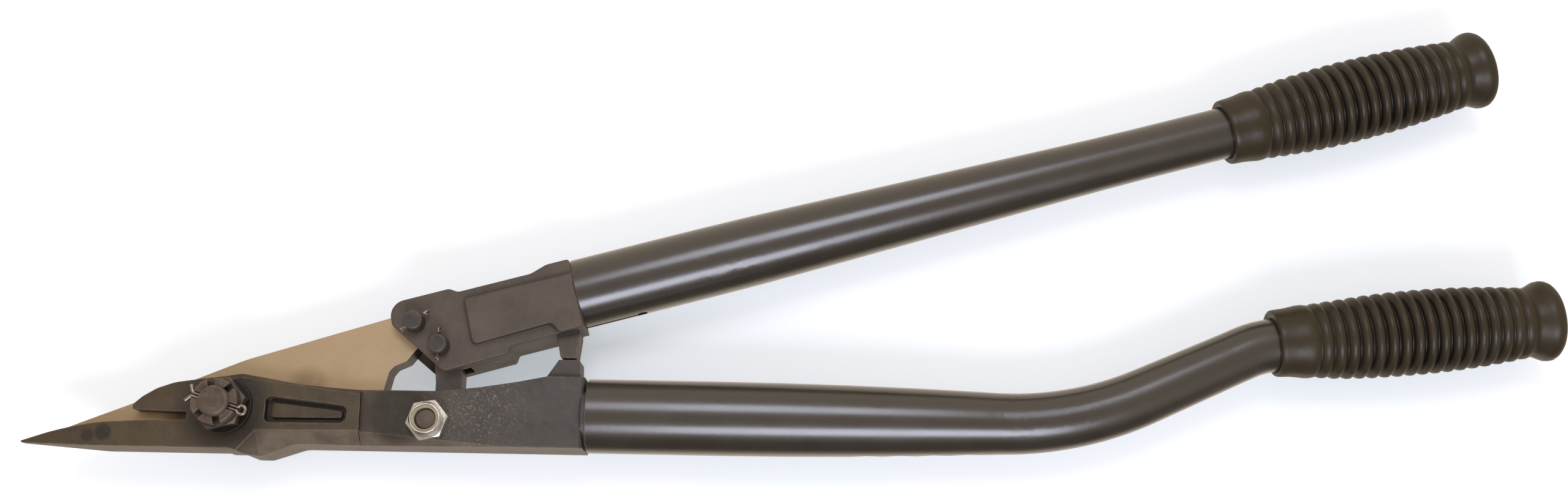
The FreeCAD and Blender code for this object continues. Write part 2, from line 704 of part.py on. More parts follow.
def make_pivot_fasteners():
    seat = "0 - cheek_outer - rear_washer"
    head = hexagon("pivot_head_hex", "pivot_flats", "pivot_head", f"{seat} - pivot_head")
    shank = chamfered_rod("pivot_shank", "pivot_radius", seat, "pivot_end", 0.9)
    joined = combine("Fuse", "pivot_bolt_solid", head, shank)
    hole_radius = 2 * size("nut_cotter_wire") + COTTER_HOLE_GAP
    hole = cross_hole("pivot_cotter_hole", hole_radius, nut_cotter_height(), NUT_COTTER_ANGLE)
    finish(combine("Cut", "pivot_bolt", joined, hole))
    make_washer("pivot_washer", "washer_radius", "pivot_radius", "washer_thickness", "cheek_outer")
    make_washer("pivot_rear_washer", "washer_radius", "pivot_radius", "rear_washer", seat)

    nut = hexagon("castle_nut_hex", "pivot_flats", "castle_hex", "cheek_outer + washer_thickness")
    crown_base = "cheek_outer + washer_thickness + castle_hex"
    crown_top = f"{crown_base} + castle_crown"
    crown = chamfered_rod("castle_crown_rod", "castle_crown_radius", crown_base, crown_top, 0.6)
    joined = combine("Fuse", "castle_nut_solid", nut, crown)
    cutters = [cylinder("castle_nut_bore", "pivot_radius", "60", "0")]
    for number in range(3):
        slot = doc.addObject("Part::Box", f"castle_slot_{number}")
        slot.Length = 40
        bind(slot, "Width", "castle_slot")
        slot.Height = 20
        turn = Rotation(Vector(0, 0, 1), 30 + 60 * number)
        corner = turn.multVec(Vector(-20, -size("castle_slot") / 2, 0))
        slot.Placement = Placement(corner + Vector(0, 0, crown_level() + 0.6), turn)
        cutters.append(slot)
    finish(combine("Cut", "pivot_castle_nut", joined, *cutters), at(0, 0, NUT_TURN))


def make_link_fasteners():
    place = at(size("link_pivot_x"), size("link_pivot_y"), 10.0)
    seat = "0 - cheek_outer - rear_washer"
    head = hexagon("link_head_hex", "link_bolt_flats", "link_bolt_head", f"{seat} - link_bolt_head")
    shank = chamfered_rod("link_shank", "link_bolt_radius", seat, "link_bolt_end", 0.7)
    finish(combine("Fuse", "link_bolt", head, shank), place)
    make_washer("link_rear_washer", "link_washer_radius", "link_bolt_radius", "rear_washer", seat, place)

    nut = hexagon("lock_nut_hexagon", "link_bolt_flats", "lock_nut_hex", "neck_face")
    nut_top = "neck_face + lock_nut_height"
    collar = chamfered_rod("lock_nut_collar_rod", "lock_nut_collar", "neck_face", nut_top, 0.9)
    joined = combine("Fuse", "lock_nut_solid", nut, collar)
    bore = cylinder("lock_nut_bore", "link_bolt_radius", "60", "0")
    ring_base = f"{nut_top} - nylon_ring_drop"
    groove = cylinder("lock_nut_groove", "nylon_ring_outer", "60", ring_base)
    finish(combine("Cut", "link_lock_nut", joined, bore, groove), place)

    ring = cylinder("nylon_ring_disc", "nylon_ring_outer", "nylon_ring_height", ring_base)
    hole = cylinder("nylon_ring_hole", "link_bolt_radius", "60", "0")
    finish(combine("Cut", "lock_nut_nylon_ring", ring, hole), place)


def make_clevis_pin(label, local, cotter_angle):
    head = cylinder(f"{label}_head", "pin_head_radius", "pin_head", "0 - cheek_outer - pin_head")
    shank = chamfered_rod(f"{label}_shank", "pin_radius", "0 - cheek_outer", "pin_end", 0.6)
    joined = combine("Fuse", f"{label}_solid", head, shank)
    radius = 2 * size("pin_cotter_wire") + COTTER_HOLE_GAP
    hole = cross_hole(f"{label}_hole", radius, size("pin_cotter_height"), cotter_angle)
    finish(combine("Cut", label, joined, hole), local)


def make_cotter(label, local, wire, rod_radius, eye, legs, spread):
    """Split pin across a rod: an eye on the +X side and two legs spread on the -X side."""
    gap = wire + 0.04
    near = rod_radius + 0.5
    far = near + 2 * eye
    route = [
        (-rod_radius - legs, gap + spread), (-near, gap, 1.5), (near, gap, 1.0),
        (near + 0.8, eye, 1.0), (far, eye, eye * 0.8), (far, -eye, eye * 0.8), (near + 0.8, -eye, 1.0),
        (near, -gap, 1.0), (-near, -gap, 1.5), (-rod_radius - legs, -gap - spread),
    ]
    pieces = Part.sortEdges([curve.toShape() for curve in rounded(route, closed=False)])[0]
    path = Part.Wire(pieces)
    start = path.OrderedVertexes[0].Point
    heading = path.OrderedEdges[0].tangentAt(path.OrderedEdges[0].FirstParameter)
    ring = Part.Wire(Part.makeCircle(wire, start, heading))
    piece = doc.addObject("Part::Feature", label)
    piece.Shape = path.makePipeShell([ring], True, True)
    return finish(piece, local)


# ---------------------------------------------------------------- the whole tool

make_lower_frame()
make_shear_blade()
make_toggle_link()
make_upper_head()
make_lower_handle_tube()
make_upper_handle_tube()

make_grip("lower_grip", at(*GRIP_START, GRIP_SLOPE))
make_grip("upper_grip", LEVER.multiply(at(388.7, size("upper_axis"))))

make_pivot_fasteners()
make_link_fasteners()
blade_pin_place = LEVER.multiply(at(size("blade_pin_x"), size("blade_pin_y")))
make_clevis_pin("blade_pin", blade_pin_place, BLADE_COTTER_ANGLE)
make_clevis_pin("link_pin", LEVER, LINK_COTTER_ANGLE)

across = Placement(Vector(0, 0, nut_cotter_height()), Rotation(Vector(0, 0, 1), NUT_COTTER_ANGLE))
make_cotter("pivot_cotter_pin", across, size("nut_cotter_wire"), size("castle_crown_radius"), 1.8, 2.4, 3.0)
for label, place, angle in (
    ("blade_pin_cotter", blade_pin_place, BLADE_COTTER_ANGLE),
    ("link_pin_cotter", LEVER, LINK_COTTER_ANGLE),
):
    on_edge = Rotation(Vector(0, 0, 1), angle).multiply(Rotation(Vector(1, 0, 0), 90))
    across = place.multiply(Placement(Vector(0, 0, size("pin_cotter_height")), on_edge))
    make_cotter(label, across, size("pin_cotter_wire"), size("pin_radius"), 1.5, 2.6, 0.9)

doc.recompute()

# ---------------------------------------------------------------- checks and export

for item in doc.Objects:
    if "Invalid" in item.State or "Error" in item.State:
        raise RuntimeError(f"{item.Label}: {item.State}")
whole = FreeCAD.BoundBox()
for piece in NODES:
    if piece.Shape.isNull() or not piece.Shape.isValid() or len(piece.Shape.Solids) != 1:
        raise RuntimeError(f"{piece.Label} isn't one valid solid")
    whole.add(piece.Shape.optimalBoundingBox(False, False))
    piece.Shape.exportStep(f"parts/{piece.Label}.step")
print(len(NODES), "pieces, box", whole)
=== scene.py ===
import json
import math

import bpy
from mathutils import Matrix, Vector, noise


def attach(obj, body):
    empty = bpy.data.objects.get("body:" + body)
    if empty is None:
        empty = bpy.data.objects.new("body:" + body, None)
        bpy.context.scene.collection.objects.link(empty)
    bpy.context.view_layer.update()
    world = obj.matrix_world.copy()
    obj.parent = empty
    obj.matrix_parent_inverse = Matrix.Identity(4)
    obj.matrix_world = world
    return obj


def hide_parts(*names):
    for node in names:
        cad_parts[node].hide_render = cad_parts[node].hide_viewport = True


# A long-handled lever shear for steel strapping, lying flat on a pale floor.
# Lengths are in metres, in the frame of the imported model.

MM = 0.001

# sockets of a Mix node that mixes colours
MIX_FACTOR = 0
MIX_FIRST = 6
MIX_SECOND = 7
MIX_RESULT = 2

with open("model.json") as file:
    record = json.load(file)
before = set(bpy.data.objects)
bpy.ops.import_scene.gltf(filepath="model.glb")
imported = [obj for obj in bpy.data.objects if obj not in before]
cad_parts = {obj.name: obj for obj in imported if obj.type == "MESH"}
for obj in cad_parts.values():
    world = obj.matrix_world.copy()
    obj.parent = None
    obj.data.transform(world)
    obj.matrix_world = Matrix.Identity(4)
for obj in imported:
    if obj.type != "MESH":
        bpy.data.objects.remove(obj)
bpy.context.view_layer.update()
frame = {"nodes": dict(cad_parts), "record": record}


# ---------------------------------------------------------------- node recipes

def opaque(colour):
    """A plain (red, green, blue) with its alpha added; a node's output stays as it is."""
    return (*colour, 1.0) if isinstance(colour, tuple) else colour


def scaled(colour, share):
    """A plain colour with each channel times this share."""
    return tuple(share * channel for channel in colour)


class Recipe:
    """Sums done by the nodes of one tree."""

    def __init__(self, tree):
        self.tree = tree

    def add(self, kind, inputs=(), **settings):
        """Add a node; each input is a plain value or another node's output."""
        made = self.tree.nodes.new(kind)
        for setting, value in settings.items():
            setattr(made, setting, value)
        for key, value in dict(inputs).items():
            if isinstance(value, bpy.types.NodeSocket):
                self.tree.links.new(value, made.inputs[key])
            else:
                made.inputs[key].default_value = value
        return made

    def levels(self, value, low, high, to_low=0.0, to_high=1.0):
        """Rescale a value, held inside its new range."""
        inputs = {
            "Value": value, "From Min": low, "From Max": high, "To Min": to_low, "To Max": to_high,
        }
        return self.add("ShaderNodeMapRange", inputs).outputs[0]

    def compute(self, operation, *values):
        return self.add("ShaderNodeMath", dict(enumerate(values)), operation=operation).outputs[0]

    def sum(self, first, second):
        return self.compute("ADD", first, second)

    def less(self, first, second):
        return self.compute("SUBTRACT", first, second)

    def times(self, first, second):
        return self.compute("MULTIPLY", first, second)

    def larger(self, first, second):
        return self.compute("MAXIMUM", first, second)

    def magnitude(self, value):
        """The value without its sign."""
        return self.compute("ABSOLUTE", value)

    def split(self, vector, axis):
        """One axis, "X", "Y" or "Z", of a place or a direction."""
        return self.add("ShaderNodeSeparateXYZ", {0: vector}).outputs[axis]


class Surface(Recipe):
    """A Principled material whose patterns are laid out in metres on the piece itself."""

    def __init__(self, name, **sockets):
        self.material = bpy.data.materials.new(name)
        self.material.use_nodes = True
        super().__init__(self.material.node_tree)
        self.shader = self.tree.nodes["Principled BSDF"]
        for socket, value in sockets.items():
            self.shader.inputs[socket.replace("_", " ")].default_value = value
        self.place = self.add("ShaderNodeTexCoord").outputs["Object"]
        self.normal = self.add("ShaderNodeNewGeometry").outputs["Normal"]

    def feed(self, socket, value):
        self.tree.links.new(value, self.shader.inputs[socket])

    def moved(self, turn=0.0, stretch=(1.0, 1.0, 1.0)):
        """The place on the piece, turned about Z and then stretched."""
        turned = self.add("ShaderNodeMapping", {"Vector": self.place, "Rotation": (0.0, 0.0, turn)})
        return self.add("ShaderNodeMapping", {"Vector": turned.outputs[0], "Scale": stretch}).outputs[0]

    def grain(self, size, detail=3.0, roughness=0.55, place=None):
        """Soft noise from 0 to 1 whose blobs are about this size."""
        place = place or self.place
        inputs = {"Vector": place, "Scale": 1.0 / size, "Detail": detail, "Roughness": roughness}
        return self.add("ShaderNodeTexNoise", inputs).outputs[0]

    def cells(self, size, place=None):
        """Distance to the nearest of many scattered points, about this far apart."""
        inputs = {"Vector": place or self.place, "Scale": 1.0 / size}
        return self.add("ShaderNodeTexVoronoi", inputs).outputs["Distance"]

    def blend(self, factor, first, second):
        """Mix of two colours, each (red, green, blue) or another node's output."""
        inputs = {MIX_FACTOR: factor, MIX_FIRST: opaque(first), MIX_SECOND: opaque(second)}
        return self.add("ShaderNodeMix", inputs, data_type="RGBA").outputs[MIX_RESULT]

    def along(self, axis, low, high):
        """0 to 1 between two places along one axis of the piece, held beyond them."""
        return self.levels(self.split(self.place, axis), low, high)

    def near(self, centre, reach):
        """1 at a place on the piece, falling to 0 at this reach from it."""
        away = self.add("ShaderNodeVectorMath", {0: self.place, 1: centre}, operation="DISTANCE")
        return self.levels(away.outputs["Value"], 0.0, reach, 1.0, 0.0)

    def openness(self, reach):
        """1 on open ground, falling in grooves and corners."""
        made = self.add("ShaderNodeAmbientOcclusion", {"Distance": reach}, samples=6, only_local=True)
        return made.outputs["AO"]

    def rounding(self, radius):
        """Normal that runs smoothly over sharp edges."""
        return self.add("ShaderNodeBevel", {"Radius": radius}, samples=6).outputs[0]

    def edges(self, rounded, openness):
        """1 on outer edges and 0 on flat ground and in corners."""
        normals = {0: rounded, 1: self.normal}
        agreement = self.add("ShaderNodeVectorMath", normals, operation="DOT_PRODUCT").outputs["Value"]
        turning = self.levels(agreement, 0.995, 0.86)
        return self.times(turning, self.levels(openness, 0.72, 0.9))

    def relief(self, height, depth, normal=None):
        """Bumped normal; the height runs from 0 to 1 over this depth."""
        inputs = {"Height": height, "Distance": depth, "Strength": 1.0, "Normal": normal or self.normal}
        return self.add("ShaderNodeBump", inputs).outputs[0]


# ---------------------------------------------------------------- materials

# marks and painted shade on the tool, each (centre, reach)
NECK_SCUFFS = ((-0.1487, -0.088, 0.0356), 30 * MM)
# the frame, and the nut and washers on it, turn darker around the pivot
PIVOT_DARKENING = ((-0.2643, -0.0884, 0.0376), 25 * MM)
NUT_DARKENING = (PIVOT_DARKENING[0], 17 * MM)
# painted shade on the frame's neck
NECK_SHADE = ((-0.1850, -0.0900, 0.0356), 17 * MM)
JAW_OIL = ((-0.3190, -0.1012, 0.0376), 4.6 * MM)
TIP_OIL = ((-0.3260, -0.1030, 0.0376), 3.4 * MM)
BLADE_SMUDGE = ((-0.2293, -0.0785, 0.0296), 12 * MM)
BLADE_FILM = ((-0.2763, -0.0984, 0.0296), 24 * MM)

# painted reflection, a greyer tint along the frame's neck: (dark, light, from x, to x)
NECK_SHEEN = ((0.043, 0.036, 0.030), (0.072, 0.063, 0.056), -0.212, -0.150)

# the blade's side faces darken from the first x to the second, and stay dark up to its tail
TAIL_DARKENING = (-0.24, -0.21)


def forged(name, dark, light, bare, roughness, scuffs=None, far=None, darkened_at=(), painted_side_light=None):
    """Dark oxide on a forging: mottled, lightly pitted, worn along its outer edges.

    Hollows are darkened with painted shade. Scuffs are (centre, reach) of a scuffed patch, and
    darkened_at a list of patches made darker: oil stains on the jaw, painted shade on the neck,
    and darkening around the pivot. Far is (dark, light, from x, to x), a painted reflection: the
    greyer tint that the colour changes to along the piece. The painted_side_light is the colour of
    faces towards -Y, painted lighter as if lit from that side.
    """
    skin = Surface(name)
    rounded = skin.rounding(1.1 * MM)
    openness = skin.openness(7 * MM)
    patches = skin.grain(38 * MM, detail=4.0, roughness=0.5)
    mottle = skin.grain(9 * MM, detail=5.0, roughness=0.62)
    fine = skin.grain(0.7 * MM, detail=3.0, roughness=0.6)
    pits = skin.levels(skin.cells(1.8 * MM), 0.0, 0.3)
    lumps = skin.grain(5 * MM, detail=2.0)

    shade = skin.levels(skin.sum(patches, mottle), 0.72, 1.28)
    colour = skin.blend(shade, dark, light)
    # painted reflection: a greyer tint along the piece
    if far:
        far_dark, far_light, low, high = far
        colour = skin.blend(skin.along("X", low, high), colour, skin.blend(shade, far_dark, far_light))
    # painted shade: darker in hollows and corners
    colour = skin.blend(skin.levels(openness, 0.92, 0.5, 0.0, 0.93), colour, scaled(dark, 0.2))
    colour = skin.blend(skin.levels(fine, 0.64, 0.8, 0.0, 0.25), colour, scaled(light, 1.5))
    # painted light: faces towards -Y are painted lighter, as if lit from that side
    if painted_side_light:
        facing = skin.levels(skin.split(skin.normal, "Y"), -0.35, -0.65)
        side_light_share = skin.times(facing, skin.levels(mottle, 0.3, 0.65, 0.35, 0.8))
        colour = skin.blend(side_light_share, colour, painted_side_light)
    # darker patches: oil stains, painted shade, and darkening around the pivot
    for patch in darkened_at:
        covered = skin.levels(skin.near(*patch), 0.0, 0.35)
        dark_patch = skin.times(covered, skin.levels(mottle, 0.3, 0.6, 0.6, 0.9))
        colour = skin.blend(dark_patch, colour, scaled(dark, 0.4))

    breakup = skin.levels(skin.grain(2.6 * MM, detail=4.0, roughness=0.7), 0.4, 0.66)
    wear = skin.times(skin.edges(rounded, openness), skin.levels(breakup, 0.0, 1.0, 0.1, 0.55))
    nicks = skin.levels(skin.grain(1.5 * MM, detail=5.0, roughness=0.8), 0.71, 0.75, 0.0, 0.4)
    wear = skin.larger(wear, nicks)
    if scuffs:
        flecks = skin.levels(skin.grain(1.1 * MM, detail=5.0, roughness=0.8), 0.55, 0.66)
        wear = skin.larger(wear, skin.times(flecks, skin.near(*scuffs)))
    skin.feed("Base Color", skin.blend(wear, colour, bare))
    dull = skin.less(mottle, wear)
    skin.feed("Roughness", skin.levels(dull, -0.6, 0.8, roughness - 0.12, roughness + 0.1))
    skin.feed("Metallic", skin.times(wear, 0.6))

    surface = skin.relief(lumps, 0.3 * MM, rounded)
    surface = skin.relief(pits, 0.05 * MM, surface)
    skin.feed("Normal", skin.relief(fine, 0.045 * MM, surface))
    return skin.material


def blade_steel():
    """Tempered tool steel: straw tint, fine grinding marks, oily patches, dark sides at its tail."""
    skin = Surface("blade_steel", Metallic=0.6)
    rounded = skin.rounding(0.4 * MM)
    openness = skin.openness(8 * MM)
    marks = skin.grain(0.35 * MM, detail=3.0, place=skin.moved(turn=-1.2, stretch=(1.0, 0.04, 1.0)))
    clouds = skin.grain(22 * MM, detail=4.0, roughness=0.6)
    colour = skin.blend(clouds, (0.40, 0.295, 0.172), (0.48, 0.355, 0.215))
    colour = skin.blend(skin.levels(marks, 0.4, 0.75, 0.0, 0.2), colour, (0.56, 0.43, 0.28))
    smudge = skin.times(skin.near(*BLADE_SMUDGE), skin.levels(clouds, 0.36, 0.56))
    film = skin.levels(skin.near(*BLADE_FILM), 0.1, 0.45, 0.0, 0.9)
    # painted shade in the blade's corners, joined with the oily smudge
    shade_and_smudge = skin.larger(skin.levels(openness, 0.9, 0.4, 0.0, 0.6), skin.times(smudge, 0.8))
    colour = skin.blend(skin.larger(shade_and_smudge, film), colour, (0.13, 0.085, 0.045))
    side = skin.levels(skin.magnitude(skin.split(skin.normal, "Z")), 0.7, 0.4)
    dark_side = skin.times(side, skin.along("X", *TAIL_DARKENING))
    colour = skin.blend(dark_side, colour, (0.040, 0.030, 0.022))
    colour = skin.blend(skin.times(skin.edges(rounded, openness), 0.35), colour, (0.7, 0.58, 0.42))
    skin.feed("Base Color", colour)
    skin.feed("Roughness", skin.levels(skin.sum(clouds, marks), 0.6, 1.4, 0.36, 0.5))
    surface = skin.relief(clouds, 0.05 * MM, rounded)
    skin.feed("Normal", skin.relief(marks, 0.012 * MM, surface))
    return skin.material


def tube_paint():
    """Gloss dark paint on drawn tube, with orange peel, dust and small dents."""
    skin = Surface("tube_paint", Coat_Weight=0.9, Coat_Roughness=0.24)
    rounded = skin.rounding(0.5 * MM)
    openness = skin.openness(5 * MM)
    clouds = skin.grain(25 * MM, detail=4.0, roughness=0.6)
    peel = skin.grain(2.4 * MM, detail=2.0)
    dust = skin.levels(skin.grain(0.6 * MM, detail=4.0, roughness=0.75), 0.66, 0.78, 0.0, 0.3)
    dents = skin.levels(skin.cells(31 * MM, skin.moved(stretch=(0.7, 1.0, 1.0))), 0.0, 0.12)
    colour = skin.blend(clouds, (0.029, 0.023, 0.0165), (0.046, 0.037, 0.027))
    colour = skin.blend(dust, colour, (0.10, 0.082, 0.065))
    wear = skin.times(skin.edges(rounded, openness), 0.6)
    skin.feed("Base Color", skin.blend(wear, colour, (0.35, 0.30, 0.25)))
    skin.feed("Roughness", skin.levels(skin.sum(clouds, dust), 0.3, 1.0, 0.24, 0.38))
    surface = skin.relief(dents, 0.12 * MM, rounded)
    skin.feed("Normal", skin.relief(peel, 0.03 * MM, surface))
    return skin.material


def grip_rubber():
    """Moulded rubber: semi-gloss, a little dusty, with painted shade darkening its valleys."""
    skin = Surface("grip_rubber", Specular_IOR_Level=0.32)
    openness = skin.openness(5 * MM)
    clouds = skin.grain(12 * MM, detail=4.0, roughness=0.6)
    fine = skin.grain(0.5 * MM, detail=3.0)
    colour = skin.blend(clouds, (0.030, 0.0215, 0.0105), (0.048, 0.0345, 0.0175))
    # painted shade: the valleys between the ribs are darkened nearly to black
    colour = skin.blend(skin.levels(openness, 0.94, 0.58, 0.0, 0.98), colour, (0.003, 0.0025, 0.002))
    colour = skin.blend(skin.levels(fine, 0.64, 0.8, 0.0, 0.25), colour, (0.12, 0.10, 0.08))
    skin.feed("Base Color", colour)
    skin.feed("Roughness", skin.levels(clouds, 0.3, 0.7, 0.30, 0.46))
    surface = skin.relief(clouds, 0.12 * MM)
    skin.feed("Normal", skin.relief(fine, 0.025 * MM, surface))
    return skin.material


def plated(name, dark, light, bare, roughness, metallic, darkened_at=None):
    """Small hardware with a mottled skin and worn corners; darkened_at is (centre, reach) of a darker
    patch.
    """
    skin = Surface(name)
    rounded = skin.rounding(0.35 * MM)
    openness = skin.openness(3 * MM)
    clouds = skin.grain(5 * MM, detail=4.0, roughness=0.65)
    fine = skin.grain(0.4 * MM, detail=3.0)
    colour = skin.blend(skin.levels(clouds, 0.3, 0.7), dark, light)
    # painted shade: darker in hollows and corners
    colour = skin.blend(skin.levels(openness, 0.9, 0.35, 0.0, 0.75), colour, scaled(dark, 0.3))
    wear = skin.times(skin.edges(rounded, openness), skin.levels(fine, 0.3, 0.6, 0.35, 0.9))
    # a patch made darker, with less wear
    if darkened_at:
        dark_patch = skin.levels(skin.near(*darkened_at), 0.05, 0.24)
        colour = skin.blend(dark_patch, colour, scaled(dark, 0.22))
        wear = skin.times(wear, skin.levels(dark_patch, 0.0, 1.0, 1.0, 0.3))
    skin.feed("Base Color", skin.blend(wear, colour, bare))
    skin.feed("Metallic", skin.levels(wear, 0.0, 1.0, metallic, 0.95))
    skin.feed("Roughness", skin.levels(clouds, 0.3, 0.7, roughness - 0.06, roughness + 0.08))
    surface = skin.relief(clouds, 0.06 * MM, rounded)
    skin.feed("Normal", skin.relief(fine, 0.015 * MM, surface))
    return skin.material


MATERIALS = {
    "frame_forging": forged(
        "frame_forging", (0.046, 0.031, 0.0145), (0.082, 0.056, 0.027), bare=(0.36, 0.29, 0.21),
        roughness=0.46, scuffs=NECK_SCUFFS, far=NECK_SHEEN,
        darkened_at=(PIVOT_DARKENING, NECK_SHADE, JAW_OIL, TIP_OIL), painted_side_light=(0.170, 0.130, 0.090)),
    "head_forging": forged(
        "head_forging", (0.064, 0.048, 0.035), (0.102, 0.077, 0.058), bare=(0.38, 0.31, 0.24),
        roughness=0.5),
    "link_steel": forged(
        "link_steel", (0.050, 0.040, 0.033), (0.085, 0.070, 0.058), bare=(0.40, 0.35, 0.30),
        roughness=0.45),
    "blade_steel": blade_steel(),
    "tube_paint": tube_paint(),
    "grip_rubber": grip_rubber(),
    "dark_hardware": plated(
        "dark_hardware", (0.070, 0.052, 0.038), (0.140, 0.104, 0.075), bare=(0.5, 0.42, 0.34),
        roughness=0.4, metallic=0.35, darkened_at=NUT_DARKENING),
    "zinc_nut": plated(
        "zinc_nut", (0.62, 0.60, 0.54), (0.82, 0.80, 0.74), bare=(0.95, 0.93, 0.88),
        roughness=0.28, metallic=1.0),
    "nylon": plated(
        "nylon", (0.29, 0.245, 0.165), (0.40, 0.35, 0.25), bare=(0.48, 0.42, 0.31),
        roughness=0.5, metallic=0.0),
    "clevis_pin_steel": plated(
        "clevis_pin_steel", (0.040, 0.034, 0.030), (0.075, 0.064, 0.056), bare=(0.45, 0.4, 0.36),
        roughness=0.42, metallic=0.3),
    "split_pin_steel": plated(
        "split_pin_steel", (0.24, 0.20, 0.185), (0.42, 0.35, 0.32), bare=(0.7, 0.62, 0.57),
        roughness=0.34, metallic=0.95),
}

for part in frame["record"]["subparts"]:
    node = frame["nodes"][part["node"]]
    node.data.materials.clear()
    node.data.materials.append(MATERIALS[part["material_slot"]])


# ---------------------------------------------------------------- grips

# distances from the sleeve's mouth; FULLEST is where the ribs are thickest
RIB_START = 18.0 * MM
FULLEST = 66.0 * MM
BORE_DEPTH = 127.0 * MM
FLANGE_END = 133.0 * MM

RIB_COUNT = 17
RIB_PITCH = 6.0 * MM
HALF_SPAN = 51.0 * MM
TUBE_RADIUS = 12.56 * MM
GRIP_SIDES = 120
RIB_STEPS = 14

# radius of the crests and depth of the valleys at FULLEST, and what each loses HALF_SPAN away
CREST = 20.1 * MM
CREST_FALL = 3.1 * MM
VALLEY = 2.9 * MM
VALLEY_FALL = 1.9 * MM
CREST_ROUNDNESS = 0.8

# waves in the moulded skin, and the parting line, whose width is the sine of an angle
WAVES = 0.16 * MM
FLASH_HEIGHT = 0.14 * MM
FLASH_WIDTH = 0.035


def smooth(value, low, high):
    """Smooth step from 0 to 1."""
    share = min(1.0, max(0.0, (value - low) / (high - low)))
    return share * share * (3.0 - 2.0 * share)


def rib_profile():
    """(distance from the mouth, radius) over the ribs: round crests between narrow valleys."""
    points = []
    for step in range(RIB_COUNT * RIB_STEPS + 1):
        along = RIB_START + step / RIB_STEPS * RIB_PITCH
        reach = (along - FULLEST) / HALF_SPAN
        crest = CREST - CREST_FALL * reach * reach
        depth = VALLEY - VALLEY_FALL * reach * reach
        height = math.sin(math.pi * (step % RIB_STEPS) / RIB_STEPS) ** CREST_ROUNDNESS
        points.append((along, crest - depth * (1.0 - height)))
    return points


def sleeve_profile(length):
    """The sleeve's outside line from its mouth to the middle of its closed end."""
    collar = [
        (0.0, 12.9), (-0.1, 14.6), (0.1, 15.3), (0.7, 15.7), (2.5, 15.9), (6.0, 16.1), (9.5, 16.6),
        (12.5, 17.2), (15.0, 17.3), (17.0, 17.0),
    ]
    flange = [
        (121.6, 16.5), (123.0, 16.9), (125.0, 17.9), (127.0, 18.8), (128.6, 19.0), (130.0, 18.8),
        (131.4, 18.1), (132.5, 16.9), (132.95, 15.2), (133.0, 12.0), (132.6, 10.8), (132.5, 6.0),
        (132.5, 1.0),
    ]
    end = length - FLANGE_END
    points = [(along * MM, radius * MM) for along, radius in collar]
    points += rib_profile()
    return points + [(end + along * MM, radius * MM) for along, radius in flange]


def directions(slope):
    """Along, across and up, for a sleeve whose axis lies flat at this slope."""
    along = Vector((math.cos(slope), math.sin(slope), 0.0))
    across = Vector((-math.sin(slope), math.cos(slope), 0.0))
    return along, across, Vector((0.0, 0.0, 1.0))


def sleeve_ends(node, slope):
    """Mouth centre and length of a CAD sleeve."""
    along, across, up = directions(slope)
    points = [vertex.co for vertex in frame["nodes"][node].data.vertices]

    def span(direction):
        reach = [point.dot(direction) for point in points]
        return min(reach), max(reach)

    start, end = span(along)
    middle = across * (sum(span(across)) / 2) + up * (sum(span(up)) / 2)
    return middle + along * start, end - start


def moulding(place, turn):
    """How far a moulded surface stands out: soft waves, and the parting line along both sides."""
    waves = noise.noise(place * 45.0) + 0.4 * noise.noise(place * 160.0)
    flash = math.exp(-((math.sin(turn) / FLASH_WIDTH) ** 2))
    return waves * WAVES + flash * FLASH_HEIGHT


def make_sleeve(name, node, slope, body, sag):
    """Moulded sleeve over a CAD grip; its collar sits off centre by sag."""
    along, across, up = directions(slope)
    mouth, length = sleeve_ends(node, slope)
    inside = [(BORE_DEPTH, 0.5 * MM)]
    inside += [(reach, TUBE_RADIUS) for reach in (BORE_DEPTH, 6.0 * MM, 0.6 * MM)]
    profile = inside + sleeve_profile(length)
    points = []
    faces = []
    for number, (reach, radius) in enumerate(profile):
        shell = number >= len(inside)
        for side in range(GRIP_SIDES):
            turn = 2.0 * math.pi * side / GRIP_SIDES
            out = across * math.cos(turn) + up * math.sin(turn)
            place = mouth + along * reach
            size = radius
            if shell:
                fade = smooth(radius, 12.8 * MM, 15.0 * MM) * smooth(length - reach, 0.0, 2.0 * MM)
                size += moulding(place + out * radius, turn) * fade
                lift = 1.0 - smooth(reach, 4.0 * MM, 34.0 * MM)
                place = place + across * sag * lift * fade
            points.append(place + out * size)
    for ring in range(len(profile) - 1):
        for side in range(GRIP_SIDES):
            here = ring * GRIP_SIDES + side
            there = ring * GRIP_SIDES + (side + 1) % GRIP_SIDES
            faces.append((here, there, there + GRIP_SIDES, here + GRIP_SIDES))
    last = (len(profile) - 1) * GRIP_SIDES
    faces.append(tuple(range(GRIP_SIDES))[::-1])
    faces.append(tuple(last + side for side in range(GRIP_SIDES)))
    mesh = bpy.data.meshes.new(name)
    mesh.from_pydata(points, [], faces)
    mesh.shade_smooth()
    mesh.materials.append(MATERIALS["grip_rubber"])
    sleeve = bpy.data.objects.new(name, mesh)
    bpy.context.scene.collection.objects.link(sleeve)
    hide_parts(node)
    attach(sleeve, body)


make_sleeve("lower_grip_sleeve", "lower_grip", math.radians(6.3), "lower_lever", 0.8 * MM)
make_sleeve("upper_grip_sleeve", "upper_grip", math.radians(15.6), "upper_lever", 0.0)


# ---------------------------------------------------------------- floor, light and camera

FLOOR_HALF = 3.0
LAMP_DISTANCE = 1.7
LAMP_TINT = (0.80, 0.84, 1.0)
ROOM_TINT = (1.0, 0.87, 0.72)


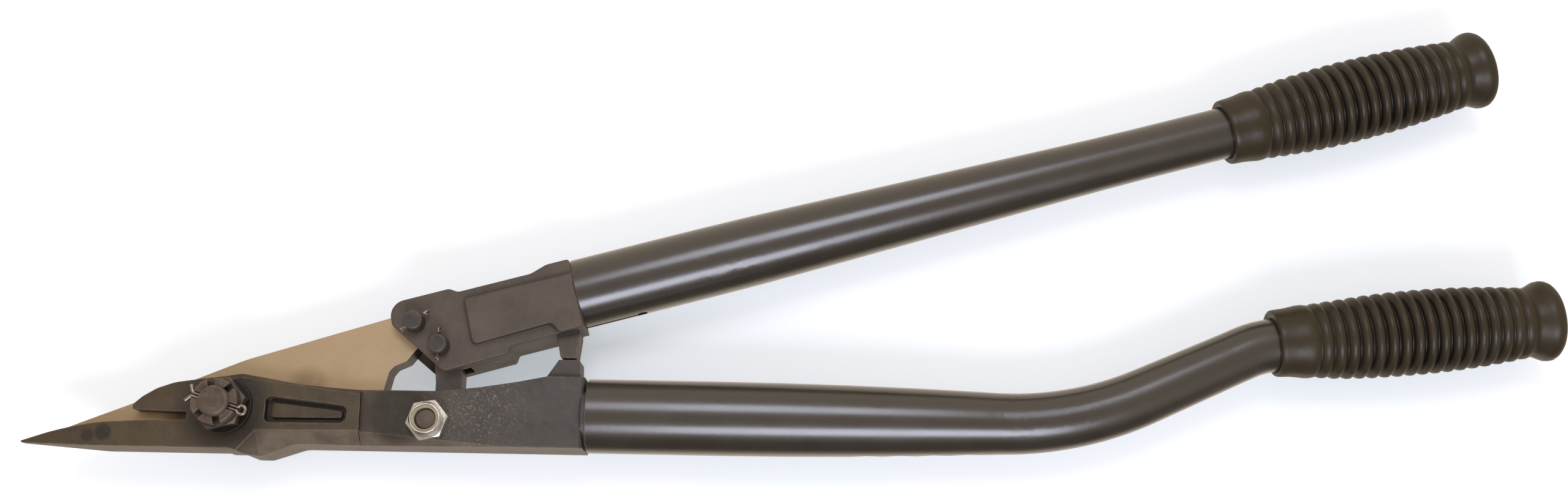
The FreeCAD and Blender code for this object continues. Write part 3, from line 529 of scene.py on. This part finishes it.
def make_floor():
    """Pale floor that the tool lies on, far wider than the tool."""
    mesh = bpy.data.meshes.new("floor")
    signs = ((-1, -1), (1, -1), (1, 1), (-1, 1))
    corners = [(x * FLOOR_HALF, y * FLOOR_HALF, 0.0) for x, y in signs]
    mesh.from_pydata(corners, [], [(0, 1, 2, 3)])
    floor = bpy.data.objects.new("floor", mesh)
    bpy.context.scene.collection.objects.link(floor)
    paper = Surface(
        "floor_paper", Roughness=0.9, Specular_IOR_Level=0.1,
        Emission_Color=opaque((0.80, 0.90, 1.0)), Emission_Strength=0.45)
    clouds = paper.grain(0.2, detail=2.0)
    paper.feed("Base Color", paper.blend(clouds, (0.79, 0.79, 0.79), (0.81, 0.81, 0.81)))
    mesh.materials.append(paper.material)
    floor.visible_glossy = False


def aimed(obj, place, target, roll=0.0):
    """Put a camera or light at a place, looking at the target, rolled about its line of sight."""
    turn = (target - place).to_track_quat("-Z", "Y").to_matrix().to_4x4()
    obj.matrix_world = Matrix.Translation(place) @ turn @ Matrix.Rotation(roll, 4, "Z")
    bpy.context.scene.collection.objects.link(obj)


def softbox(name, aside, tilt, size, power):
    """Area light so far towards +X, and at an angle from straight up, positive towards +Y."""
    lamp = bpy.data.lights.new(name, "AREA")
    lamp.shape = "RECTANGLE"
    lamp.size, lamp.size_y = size
    lamp.energy = power
    lamp.color = LAMP_TINT
    place = Vector((aside, math.sin(tilt) * LAMP_DISTANCE, math.cos(tilt) * LAMP_DISTANCE))
    aimed(bpy.data.objects.new(name, lamp), place, Vector((0.0, 0.0, 0.0)))


def make_light():
    """Two softboxes, and a warm room: brighter behind, dark low down in front, bright from below."""
    softbox("back_softbox", aside=0.0, tilt=math.radians(21.6), size=(0.64, 0.60), power=8.0)
    softbox("front_softbox", aside=0.2, tilt=math.radians(-46.4), size=(0.90, 0.60), power=15.5)
    world = bpy.data.worlds.new("room")
    world.use_nodes = True
    room = Recipe(world.node_tree)
    direction = room.add("ShaderNodeTexCoord").outputs["Generated"]
    back = room.split(direction, "Y")
    up = room.split(direction, "Z")
    wall = room.levels(back, 0.0, 1.0, 0.52, 0.85)
    low_in_front = room.times(room.levels(back, -0.45, -0.8), room.levels(up, 0.5, 0.12))
    lit = room.levels(low_in_front, 0.0, 1.0, 1.0, 0.08)
    ground = room.levels(up, -0.5, -0.8, 0.0, 0.9)
    glow = room.tree.nodes["Background"]
    glow.inputs["Color"].default_value = opaque(ROOM_TINT)
    room.tree.links.new(room.larger(room.times(wall, lit), ground), glow.inputs["Strength"])
    bpy.context.scene.world = world
    bpy.context.scene.view_settings.view_transform = "Standard"


def make_camera():
    """Nearly straight above, a little towards the lower handle."""
    azimuth = math.radians(1.90)
    elevation = math.radians(75.58)
    roll = math.radians(-0.826)
    distance = 0.792
    target = Vector((-0.00891, -0.00533, 0.0236))
    back = Vector((
        math.sin(azimuth) * math.cos(elevation),
        -math.cos(azimuth) * math.cos(elevation),
        math.sin(elevation),
    ))
    lens = bpy.data.cameras.new("camera")
    lens.sensor_width = 36.0
    lens.lens = 37.97
    camera = bpy.data.objects.new("camera", lens)
    aimed(camera, target + back * distance, target, roll)
    bpy.context.scene.camera = camera


make_floor()
make_light()
make_camera()
